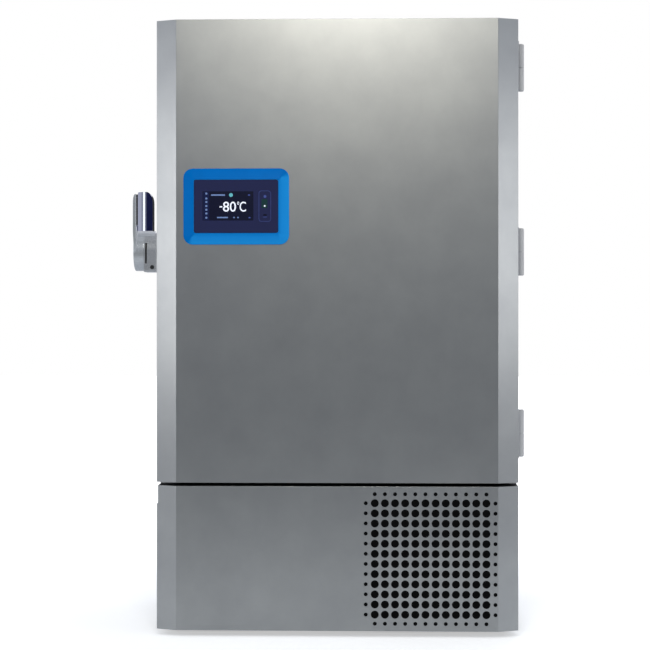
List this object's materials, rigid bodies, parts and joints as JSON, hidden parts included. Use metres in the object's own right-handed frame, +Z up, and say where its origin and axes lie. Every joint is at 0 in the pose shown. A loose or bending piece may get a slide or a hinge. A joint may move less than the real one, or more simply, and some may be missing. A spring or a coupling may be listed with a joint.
{
  "type": "ultra low temperature freezer",
  "caption": "Upright laboratory freezer with an insulated hinged door, side latch handle, touch display and a perforated lower fascia, on casters.",
  "frame": {"origin": "middle of the bounding box on the floor, under the casters and levelling feet", "axes": "+X to the hinge side seen from the front, +Y from the door to the back, +Z up"},
  "size_m": [1.2626, 0.9808, 1.981],
  "materials": {
    "cabinet_paint": "satin",
    "frame_paint": "satin",
    "insulation": "matte",
    "liner_steel": "satin",
    "white_plastic": "satin",
    "door_steel": "satin",
    "copper": "satin",
    "hinge_zinc": "satin",
    "pin_steel": "polished",
    "shell_paint": "gloss",
    "black_rubber": "matte",
    "gasket_rubber": "matte",
    "wheel_rubber": "matte",
    "fin_aluminium": "satin",
    "filter_mat": "matte",
    "black_plastic": "matte",
    "blue_plastic": "gloss",
    "display_glass": "gloss",
    "handle_plastic": "gloss",
    "chrome": "polished",
    "zinc_plate": "satin"
  },
  "bodies": {
    "cabinet": {"left_side_panel": "cabinet_paint", "right_side_panel": "cabinet_paint", "top_panel": "cabinet_paint", "rear_panel": "cabinet_paint", "machine_rear_grille": "cabinet_paint", "base_frame": "frame_paint", "machine_room_frame": "frame_paint", "foam_insulation": "insulation", "inner_liner": "liner_steel", "breaker_collar": "white_plastic", "evaporator_coil": "copper", "shelf_supports": "liner_steel", "storage_shelves": "liner_steel", "inner_door_hinges": "pin_steel", "inner_door_catches": "black_plastic", "cabinet_hinge_leaves": "hinge_zinc", "latch_strike": "hinge_zinc", "high_stage_compressor": "shell_paint", "low_stage_compressor": "shell_paint", "compressor_grommets": "black_rubber", "condenser": "fin_aluminium", "air_filter": "filter_mat", "fan_shroud": "black_plastic", "fan_motor": "shell_paint", "interstage_heat_exchanger": "black_rubber", "refrigerant_lines": "copper", "control_box": "frame_paint", "backup_battery": "black_plastic", "power_entry": "black_plastic", "rear_caster_forks": "zinc_plate", "fascia_hinge_brackets": "hinge_zinc"},
    "door": {"door_skin": "door_steel", "door_foam": "insulation", "door_inner_panel": "white_plastic", "door_gasket": "gasket_rubber", "door_hinge_leaves": "hinge_zinc", "hinge_pins": "pin_steel", "handle_housing": "handle_plastic", "display_bezel": "blue_plastic", "display_glass": "display_glass", "display_module": "black_plastic"},
    "lever": {"handle_lever": "handle_plastic", "handle_grip": "chrome", "latch_hook": "pin_steel"},
    "key": {"lock_cylinder": "chrome"},
    "fascia": {"lower_fascia": "door_steel"},
    "fan": {"fan_impeller": "black_plastic"},
    "rocker": {"power_rocker": "black_plastic"},
    "left_swivel": {"left_front_caster_fork": "zinc_plate"},
    "right_swivel": {"right_front_caster_fork": "zinc_plate"},
    "left_front_roller": {"left_front_wheel": "wheel_rubber"},
    "right_front_roller": {"right_front_wheel": "wheel_rubber"},
    "left_rear_roller": {"left_rear_wheel": "wheel_rubber"},
    "right_rear_roller": {"right_rear_wheel": "wheel_rubber"},
    "left_foot": {"left_levelling_foot": "zinc_plate"},
    "right_foot": {"right_levelling_foot": "zinc_plate"},
    "inner_door_1": {"inner_door_1": "white_plastic"},
    "inner_door_2": {"inner_door_2": "white_plastic"},
    "inner_door_3": {"inner_door_3": "white_plastic"},
    "inner_door_4": {"inner_door_4": "white_plastic"}
  },
  "joints": [
    {"name": "door_swing", "type": "hinge", "parent": "cabinet", "child": "door", "pos_m": [0.62025, -0.33838, 1.238], "axis": [0, 0, 1], "range_deg": [0, 120]},
    {"name": "lever_turn", "type": "hinge", "parent": "door", "child": "lever", "pos_m": [-0.61325, -0.39838, 1.238], "axis": [1, 0, 0], "range_deg": [0, 50]},
    {"name": "key_turn", "type": "hinge", "parent": "door", "child": "key", "pos_m": [-0.56975, -0.46038, 1.186], "axis": [0, -1, 0], "range_deg": [0, 90]},
    {"name": "fascia_swing", "type": "hinge", "parent": "cabinet", "child": "fascia", "pos_m": [0.59425, -0.35838, 0.2515], "axis": [0, 0, 1], "range_deg": [0, 100]},
    {"name": "fan_spin", "type": "hinge", "parent": "cabinet", "child": "fan", "pos_m": [0.32425, -0.21638, 0.3], "axis": [0, 1, 0], "continuous": true},
    {"name": "rocker_tip", "type": "hinge", "parent": "cabinet", "child": "rocker", "pos_m": [0.01825, 0.48162, 0.22], "axis": [1, 0, 0], "range_deg": [-20, 0]},
    {"name": "left_swivel_turn", "type": "hinge", "parent": "cabinet", "child": "left_swivel", "pos_m": [-0.45775, -0.24338, 0.125], "axis": [0, 0, 1], "continuous": true},
    {"name": "right_swivel_turn", "type": "hinge", "parent": "cabinet", "child": "right_swivel", "pos_m": [0.50625, -0.24338, 0.125], "axis": [0, 0, 1], "continuous": true},
    {"name": "left_front_roll", "type": "hinge", "parent": "left_swivel", "child": "left_front_roller", "pos_m": [-0.45775, -0.21338, 0.05], "axis": [1, 0, 0], "continuous": true},
    {"name": "left_rear_roll", "type": "hinge", "parent": "cabinet", "child": "left_rear_roller", "pos_m": [-0.45775, 0.38162, 0.05], "axis": [1, 0, 0], "continuous": true},
    {"name": "left_foot_lift", "type": "slide", "parent": "cabinet", "child": "left_foot", "axis": [0, 0, 1], "range_m": [0, 0.02]},
    {"name": "right_front_roll", "type": "hinge", "parent": "right_swivel", "child": "right_front_roller", "pos_m": [0.50625, -0.21338, 0.05], "axis": [1, 0, 0], "continuous": true},
    {"name": "right_rear_roll", "type": "hinge", "parent": "cabinet", "child": "right_rear_roller", "pos_m": [0.50625, 0.38162, 0.05], "axis": [1, 0, 0], "continuous": true},
    {"name": "right_foot_lift", "type": "slide", "parent": "cabinet", "child": "right_foot", "axis": [0, 0, 1], "range_m": [0, 0.02]},
    {"name": "inner_door_1_swing", "type": "hinge", "parent": "cabinet", "child": "inner_door_1", "pos_m": [0.51825, -0.30038, 0.7325], "axis": [0, 0, 1], "range_deg": [0, 100]},
    {"name": "inner_door_2_swing", "type": "hinge", "parent": "cabinet", "child": "inner_door_2", "pos_m": [0.51825, -0.30038, 1.0575], "axis": [0, 0, 1], "range_deg": [0, 100]},
    {"name": "inner_door_3_swing", "type": "hinge", "parent": "cabinet", "child": "inner_door_3", "pos_m": [0.51825, -0.30038, 1.3825], "axis": [0, 0, 1], "range_deg": [0, 100]},
    {"name": "inner_door_4_swing", "type": "hinge", "parent": "cabinet", "child": "inner_door_4", "pos_m": [0.51825, -0.30038, 1.7075], "axis": [0, 0, 1], "range_deg": [0, 100]}
  ],
  "couplings": [
    {"joint": "inner_door_1_swing", "follows": "door_swing", "ratio": 0.8333},
    {"joint": "inner_door_2_swing", "follows": "door_swing", "ratio": 0.8333},
    {"joint": "inner_door_3_swing", "follows": "door_swing", "ratio": 0.8333},
    {"joint": "inner_door_4_swing", "follows": "door_swing", "ratio": 0.8333}
  ]
}
